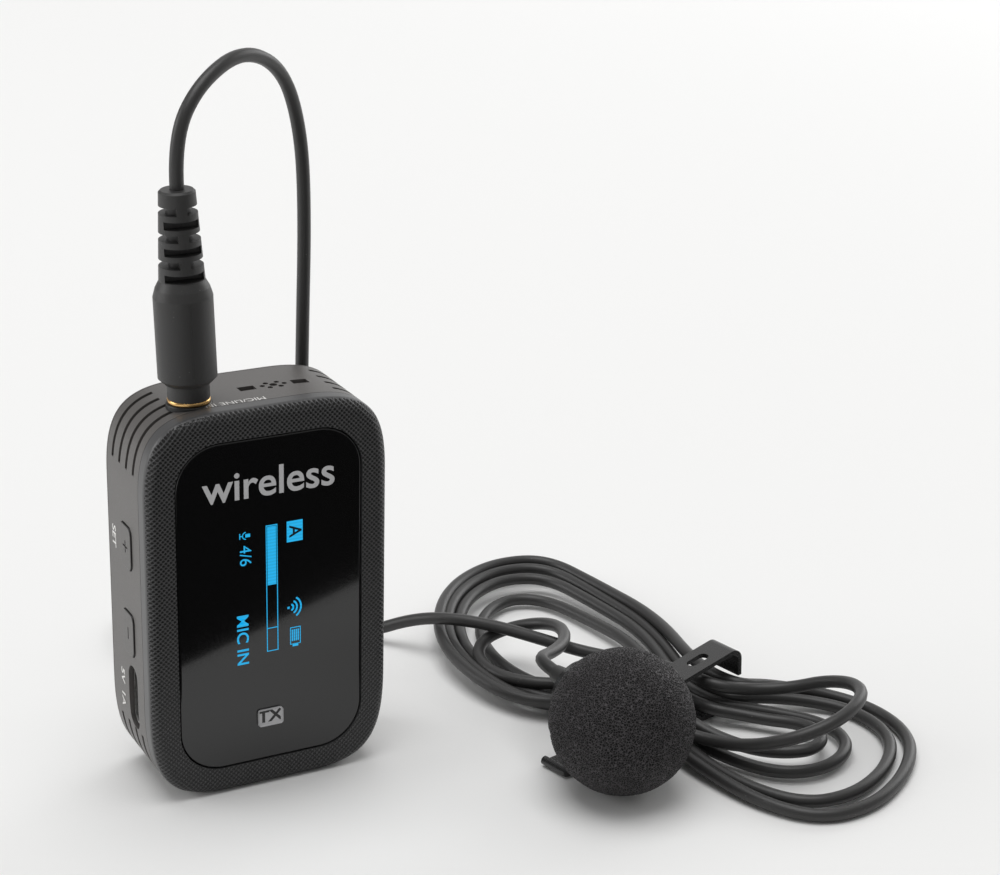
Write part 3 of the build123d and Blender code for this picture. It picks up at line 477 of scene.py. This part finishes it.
def foam_finish(name, colour, pore):
    """Open-cell foam: pores painted nearly black as shade, between fine shiny threads painted lighter as
    highlight.
    """
    made, tree, shader = material(name, colour, 0.62)
    place = place_of(tree)
    warp = add(tree, "ShaderNodeTexNoise", {"Vector": place, "Scale": 0.6 / pore, "Detail": 1.0})
    inputs = {0: warp.outputs["Color"], 1: (pore,) * 3}
    moved = add(tree, "ShaderNodeVectorMath", inputs, operation="MULTIPLY").outputs[0]
    place = add(tree, "ShaderNodeVectorMath", {0: place, 1: moved}, operation="ADD").outputs[0]
    inputs = {"Vector": place, "Scale": 1 / pore}
    cells = add(tree, "ShaderNodeTexVoronoi", inputs, feature="DISTANCE_TO_EDGE")
    thread_and_painted_light = between(tree, cells.outputs["Distance"], 0.02, 0.17, 1.0, 0.0)
    # Painted light: the pores are painted nearly black as shade and the threads much lighter as
    # highlight; the same mask also makes the threads glossier and raises them
    paint(tree, shader, thread_and_painted_light, shade(colour, 0.06), shade(colour, 4.0))
    tree.links.new(between(tree, thread_and_painted_light, 0.0, 1.0, 0.9, 0.42), shader.inputs["Roughness"])
    relief(tree, shader, thread_and_painted_light, pore * 0.35)
    return made


def lit(name, colour):
    """The display's own light, with the fine rows of its picture."""
    made, tree, shader = material(name, shade(colour, 0.2), 0.4, Emission_Strength=1.0)
    inputs = {"Vector": place_of(tree), "Scale": picture_rows}
    rows = add(tree, "ShaderNodeTexWave", inputs, bands_direction="Z")
    paint(tree, shader, rows.outputs["Fac"], shade(colour, 0.8), colour, "Emission Color")
    return made


def finish_nodes(finish, *names):
    """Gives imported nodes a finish."""
    for name in names:
        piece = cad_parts[name]
        if not piece.material_slots:
            piece.data.materials.append(finish)
        for place in piece.material_slots:
            place.material = finish


def choose(piece):
    """Leaves one piece selected, and active."""
    deselect()
    piece.select_set(True)
    bpy.context.view_layer.objects.active = piece


def place_in_mesh(piece):
    """Puts a piece's place, turn and size in its mesh."""
    choose(piece)
    bpy.ops.object.transform_apply(location=True, rotation=True, scale=True)


def settle(piece, name, finish):
    """Names a new piece, gives it its finish, puts its place in its mesh and lets it ride."""
    place_in_mesh(piece)
    piece.name = piece.data.name = name
    piece.data.materials.clear()
    piece.data.materials.append(finish)
    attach(piece, pack_body)


def join(pieces):
    """One object out of several."""
    choose(pieces[0])
    for piece in pieces:
        piece.select_set(True)
    bpy.ops.object.join()
    return bpy.context.object


class TRANSMITTER_OT_stage(bpy.types.Operator):
    """Floor, soft lights and the camera"""

    bl_idname = "transmitter.stage"
    bl_label = "Stage"

    def execute(self, context):
        deselect()
        bpy.ops.mesh.primitive_plane_add(size=floor_size)
        floor = context.object
        floor.name = "floor"
        finish, tree, shader = material("floor_paper", floor_colour, 0.7)
        relief(tree, shader, speckle(tree, place_of(tree), paper_grain), paper_depth)
        floor.data.materials.append(finish)
        world = bpy.data.worlds.new("soft_room")
        world.use_nodes = True
        room = world.node_tree.nodes["Background"]
        room.inputs["Color"].default_value = room_colour
        room.inputs["Strength"].default_value = room_strength
        context.scene.world = world
        for name, (place, aim, width, power) in lights.items():
            bpy.ops.object.light_add(type="AREA", location=place)
            light = context.object
            light.name, light.data.shape = name, "SQUARE"
            light.data.size, light.data.energy = width, power
            light.visible_camera = False
            light.rotation_euler = (Vector(aim) - Vector(place)).to_track_quat("-Z", "Y").to_euler()
        deselect()
        bpy.ops.mesh.primitive_plane_add(size=1.0)
        card = context.object
        card.name = "black_card"
        card.data.materials.append(moulded("card_black", card_colour, 0.9))
        for corner, place in zip(card.data.vertices, card_corners):
            corner.co = place
        card.visible_camera = card.visible_diffuse = card.visible_shadow = False
        bpy.ops.object.camera_add()
        camera = context.object
        camera.name = "view_camera"
        ahead = cos(camera_pitch)
        forward = Vector((sin(camera_yaw) * ahead, cos(camera_yaw) * ahead, -sin(camera_pitch)))
        level = Vector((cos(camera_yaw), -sin(camera_yaw), 0))
        upright = level.cross(forward)
        right = level * cos(camera_roll) + upright * sin(camera_roll)
        up = upright * cos(camera_roll) - level * sin(camera_roll)
        turned = Matrix((right, up, -forward)).transposed().to_4x4()
        camera.matrix_world = Matrix.Translation(camera_place) @ turned
        camera.data.sensor_width = sensor_width
        camera.data.lens = camera_reach * sensor_width
        camera.data.clip_start = nearest_seen
        context.scene.camera = camera
        context.scene.view_settings.view_transform = "Standard"
        return {"FINISHED"}


class TRANSMITTER_OT_cord(bpy.types.Operator):
    """The microphone cord: from the plug, through the tied hank, to the microphone"""

    bl_idname = "transmitter.cord"
    bl_label = "Cord"

    def execute(self, context):
        deselect()
        points = lead_route + hank_turns() + mic_route
        line = bpy.data.curves.new("microphone_cord", "CURVE")
        line.dimensions = "3D"
        spline = line.splines.new("NURBS")
        spline.points.add(len(points) - 1)
        for held, place in zip(spline.points, points):
            held.co = (*place, 1)
        spline.order_u = 3
        spline.use_endpoint_u = True
        line.resolution_u = 10
        line.bevel_depth = settings().cord_diameter / 2
        line.bevel_resolution = 4
        line.use_fill_caps = True
        cord = bpy.data.objects.new("microphone_cord", line)
        context.collection.objects.link(cord)
        line.materials.append(dusty_rubber("cord_rubber", settings().rubber_colour, 0.4))
        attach(cord, pack_body)
        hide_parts("cord_lead", "cord_hank", "mic_lead")
        return {"FINISHED"}


class TRANSMITTER_OT_shell(bpy.types.Operator):
    """Finishes of the bezel, window, band, cover, keys, port, jack's ring and belt clip"""

    bl_idname = "transmitter.shell"
    bl_label = "Shell"

    def execute(self, context):
        chosen = settings()
        finish_nodes(moulded("band_plastic", chosen.shell_colour, 0.38), "middle_band", "rear_cover")
        # The bezel's finish paints shade in the pits between its ridges and highlight on their tops and
        # on the lip
        ridges = crossed_ridges("bezel_ridges_painted_light", chosen.bezel_colour, chosen.weave_pitch)
        finish_nodes(ridges, "front_bezel")
        # The keys' finish paints shade on the slope round each cap
        keys = gap_shaded("key_plastic_gap_shade", shade(chosen.shell_colour, 0.8), 0.34)
        finish_nodes(keys, "plus_button", "minus_button", "power_button")
        glass = moulded("window_black", (0.002, 0.002, 0.0022), 0.07, depth=0.0000002, IOR=1.62)
        finish_nodes(glass, "display_window")
        steel = brushed("port_steel", (0.62, 0.62, 0.61), 0.3)
        finish_nodes(steel, "usb_shell", "clip_pin", "clip_spring")
        black = moulded("black_steel", (0.014, 0.014, 0.0145), 0.34, depth=0.000006, Metallic=0.35)
        finish_nodes(black, "clip_bracket", "belt_clip", "cover_screws", "jack_ring")
        return {"FINISHED"}


class TRANSMITTER_OT_inside(bpy.types.Operator):
    """Finishes of what is inside the shell"""

    bl_idname = "transmitter.inside"
    bl_label = "Inside"

    def execute(self, context):
        circuit = moulded("circuit_green", (0.012, 0.07, 0.035), 0.35, grain=2500.0)
        finish_nodes(circuit, "main_board", "left_key_board", "right_key_board")
        plastic = moulded("inner_plastic", (0.04, 0.04, 0.04), 0.5)
        finish_nodes(plastic, "display_frame", "usb_tongue", "jack_socket", "plug_insulators")
        for key in ("plus", "minus", "power"):
            finish_nodes(plastic, f"{key}_plunger", f"{key}_switch")
        steel = brushed("board_steel", (0.6, 0.6, 0.59), 0.34)
        finish_nodes(steel, "shield_can", "antenna", "mic_capsule")
        padding = moulded("inner_foam", (0.02, 0.02, 0.02), 0.85, grain=3500.0, depth=0.00005)
        finish_nodes(padding, "battery_pad", "display_gasket")
        finish_nodes(moulded("mesh_cloth", (0.008, 0.008, 0.008), 0.8, grain=6000.0), "mic_mesh")
        finish_nodes(moulded("cell_wrap", (0.45, 0.45, 0.46), 0.32, Metallic=0.8), "battery")
        finish_nodes(moulded("ribbon_film", (0.30, 0.15, 0.03), 0.3), "display_ribbon")
        finish_nodes(moulded("panel_glass", (0.01, 0.01, 0.014), 0.12), "display_module")
        return {"FINISHED"}


class TRANSMITTER_OT_plug(bpy.types.Operator):
    """Finishes of the plug and the microphone's strain relief"""

    bl_idname = "transmitter.plug"
    bl_label = "Plug"

    def execute(self, context):
        gold = brushed("gilt", (0.80, 0.50, 0.20), 0.2)
        finish_nodes(gold, "plug_sleeve", "plug_ring", "plug_tip")
        rubber = dusty_rubber("plug_rubber", settings().rubber_colour, 0.44)
        finish_nodes(rubber, "plug_moulding", "mic_strain_relief")
        return {"FINISHED"}


class TRANSMITTER_OT_tie_clip(bpy.types.Operator):
    """Finishes of the tie clip and the microphone"""

    bl_idname = "transmitter.tie_clip"
    bl_label = "Tie clip and microphone"

    def execute(self, context):
        satin = moulded("clip_paint", (0.02, 0.02, 0.02), 0.24, depth=0.000004, IOR=1.6)
        finish_nodes(satin, "tie_clip_base", "tie_clip_jaw", "mic_holder")
        finish_nodes(brushed("pin_steel", (0.3, 0.3, 0.3), 0.3), "tie_clip_pin", "tie_clip_spring")
        finish_nodes(brushed("mic_metal", (0.05, 0.05, 0.052), 0.36), "mic_body", "mic_grille")
        return {"FINISHED"}


class TRANSMITTER_OT_foam(bpy.types.Operator):
    """The foam ball over the microphone"""

    bl_idname = "transmitter.foam"
    bl_label = "Foam windscreen"

    def execute(self, context):
        low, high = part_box("foam_windscreen")
        radius = (high.x - low.x) / 2
        middle = Vector(((low.x + high.x) / 2, low.y + radius, (low.z + high.z) / 2))
        pore = settings().pore_size
        levels = ball_levels
        deselect()
        bpy.ops.mesh.primitive_ico_sphere_add(
            subdivisions=levels, radius=radius - pore * ball_inset, location=middle
        )
        ball = context.object
        bpy.ops.object.transform_apply(location=True)
        back = Vector((-sin(jaw_heading), cos(jaw_heading), 0))
        flat = (back.dot(Vector((*jaw_pivot, 0)) * MM)) - flat_before
        for point in ball.data.vertices:
            out = (point.co - middle).normalized()
            nearest, second = noise.voronoi(point.co / pore)[0][:2]
            open_share = min(1.0, (second - nearest) / pore_wall)
            swell = noise.noise(point.co / swell_width) * swell_height
            point.co += out * (swell - open_share * pore * pore_depth)
            if back.dot(point.co) > flat and point.co.z < middle.z - flat_below:
                point.co -= back * (back.dot(point.co) - flat)
        bpy.ops.object.shade_smooth()
        # The foam's finish paints shade in the pores and highlight on the threads
        finish = foam_finish("windscreen_foam_painted_light", settings().foam_colour, pore)
        settle(ball, "foam_ball", finish)
        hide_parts("foam_windscreen")
        return {"FINISHED"}


def plate(x0, x1, z0, z1, depth):
    """A thin upright plate in front of the window, between two corners in millimetres."""
    place = ((x0 + x1) / 2 * MM, depth - print_thick / 2, (z0 + z1) / 2 * MM)
    scale = ((x1 - x0) * MM, print_thick, (z1 - z0) * MM)
    bpy.ops.mesh.primitive_cube_add(size=1.0, location=place, scale=scale)
    return bpy.context.object


def frame_plate(x0, x1, z0, z1, line, depth):
    """An outline made of four thin plates."""
    sides = [(x0, x1, z0, z0 + line), (x0, x1, z1 - line, z1), (x0, x0 + line, z0 + line, z1 - line)]
    sides.append((x1 - line, x1, z0 + line, z1 - line))
    return [plate(*side, depth) for side in sides]


def arc_plates(centre, radius, ends, line, depth, count):
    """A short arc made of small square plates, between two angles."""
    start, end = ends
    made = []
    for i in range(count):
        angle = start + (end - start) * i / (count - 1)
        x, z = centre[0] + radius * cos(angle), centre[1] + radius * sin(angle)
        made.append(plate(x - line / 2, x + line / 2, z - line / 2, z + line / 2, depth))
    return made


def lettering(words, size, place, right, up, stretch=1.0, weight=0.0):
    """A word as a thin mesh: right and up are the directions that it reads and stands in."""
    bpy.ops.object.text_add()
    text = bpy.context.object
    text.data.body = words
    text.data.size = size
    text.data.align_x = text.data.align_y = "CENTER"
    text.data.extrude = letter_half
    text.data.offset = weight
    choose(text)
    bpy.ops.object.convert(target="MESH")
    text = bpy.context.object
    right, up = Vector(right), Vector(up)
    turned = Matrix((right * stretch, up, right.cross(up))).transposed().to_4x4()
    text.matrix_world = Matrix.Translation(place) @ turned
    bpy.ops.object.transform_apply(location=True, rotation=True, scale=True)
    return text


def front_lettering(word, depth, right, up):
    """A word that faces forwards at a depth."""
    words, size, (x, z), stretch, weight = word
    return lettering(words, size, (x, depth, z), right, up, stretch, weight)


class TRANSMITTER_OT_screen(bpy.types.Operator):
    """The lit marks behind the window"""

    bl_idname = "transmitter.screen"
    bl_label = "Display marks"

    def execute(self, context):
        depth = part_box("display_window")[0].y
        down, sideways = (0, 0, -1), (1, 0, 0)
        deselect()
        marks = [plate(*level_bar, depth)]
        marks += frame_plate(*level_frame, level_line, depth)
        marks.append(plate(*level_mark, depth))
        marks += frame_plate(*battery_frame, battery_line, depth)
        marks.append(plate(*battery_cap, depth))
        marks += [plate(x, x + battery_bar_width, *battery_bar_ends, depth) for x in battery_bars]
        marks.append(plate(*letter_field, depth))
        for radius, count in signal_arcs:
            ends = (-signal_spread, signal_spread)
            marks += arc_plates(signal_centre, radius, ends, signal_line, depth, count)
        marks.append(plate(*signal_dot, depth))
        marks += [plate(*part, depth) for part in mic_sign]
        cup = (mic_cup_centre, mic_cup_radius, mic_cup_ends, mic_cup_line, depth, mic_cup_count)
        marks += arc_plates(*cup)
        marks += [front_lettering(word, depth - over_glass, down, sideways) for word in display_words]
        letter = front_lettering(display_letter, depth - over_print, down, sideways)
        settle(letter, "screen_letter", moulded("screen_dark", (0.002, 0.004, 0.006), 0.3))
        settle(join(marks), "screen_marks", lit("screen_light", settings().glow_colour))
        return {"FINISHED"}


class TRANSMITTER_OT_labels(bpy.types.Operator):
    """The printed words on the window and the band"""

    bl_idname = "transmitter.labels"
    bl_label = "Printed labels"

    def execute(self, context):
        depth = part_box("display_window")[0].y
        left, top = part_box("middle_band")[0].x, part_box("middle_band")[1].z
        rightward, leftward, upward = (1, 0, 0), (-1, 0, 0), (0, 0, 1)
        forward, down = (0, -1, 0), (0, 0, -1)
        deselect()
        grey = moulded("grey_print", (0.52, 0.52, 0.53), 0.35)
        settle(front_lettering(window_word, depth, rightward, upward), "window_print", grey)
        marks = []
        for words, size, (y, z), stretch, weight in side_words:
            marks.append(lettering(words, size, (left, y, z), down, forward, stretch, weight))
        words, size, (x, gap), stretch, weight = top_word
        place = (x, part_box("front_bezel")[1].y + gap, top)
        marks.append(lettering(words, size, place, leftward, forward, stretch, weight))
        white = moulded("white_print", (0.8, 0.79, 0.77), 0.5)
        settle(join(marks), "band_print", white)
        badge = plate(*badge_edges, depth)
        place_in_mesh(badge)
        bpy.ops.object.mode_set(mode="EDIT")
        bpy.ops.mesh.select_all(action="DESELECT")
        bpy.ops.object.mode_set(mode="OBJECT")
        for edge in badge.data.edges:
            a, b = (badge.data.vertices[k].co for k in edge.vertices)
            edge.select = abs(a.y - b.y) > abs(a.x - b.x) + abs(a.z - b.z)
        bpy.ops.object.mode_set(mode="EDIT")
        bpy.ops.mesh.bevel(offset=badge_round, segments=badge_steps)
        bpy.ops.object.mode_set(mode="OBJECT")
        settle(badge, "badge_print", grey)
        dark = moulded("badge_dark", (0.004, 0.004, 0.004), 0.2)
        sign = front_lettering(badge_word, depth - over_print, rightward, upward)
        settle(sign, "badge_letters", dark)
        return {"FINISHED"}


class TRANSMITTER_PT_panel(bpy.types.Panel):
    """Lists the pieces that can be made"""

    bl_idname = "TRANSMITTER_PT_panel"
    bl_label = "Transmitter"
    bl_space_type = "VIEW_3D"
    bl_region_type = "UI"
    bl_category = "Transmitter"

    def draw(self, context):
        for name in TransmitterSettings.__annotations__:
            self.layout.prop(context.scene.transmitter, name)
        for piece in steps:
            self.layout.operator(piece.bl_idname)


steps = [
    TRANSMITTER_OT_stage,
    TRANSMITTER_OT_foam,
    TRANSMITTER_OT_cord,
    TRANSMITTER_OT_shell,
    TRANSMITTER_OT_inside,
    TRANSMITTER_OT_plug,
    TRANSMITTER_OT_tie_clip,
    TRANSMITTER_OT_screen,
    TRANSMITTER_OT_labels,
]


def register():
    for made in [TransmitterSettings, *steps, TRANSMITTER_PT_panel]:
        bpy.utils.register_class(made)
    bpy.types.Scene.transmitter = bpy.props.PointerProperty(type=TransmitterSettings)


def unregister():
    del bpy.types.Scene.transmitter
    for made in reversed([TransmitterSettings, *steps, TRANSMITTER_PT_panel]):
        bpy.utils.unregister_class(made)


def main():
    register()
    bpy.ops.transmitter.stage()
    bpy.ops.transmitter.foam()
    bpy.ops.transmitter.cord()
    bpy.ops.transmitter.shell()
    bpy.ops.transmitter.inside()
    bpy.ops.transmitter.plug()
    bpy.ops.transmitter.tie_clip()
    bpy.ops.transmitter.screen()
    bpy.ops.transmitter.labels()


if __name__ == "__main__":
    main()
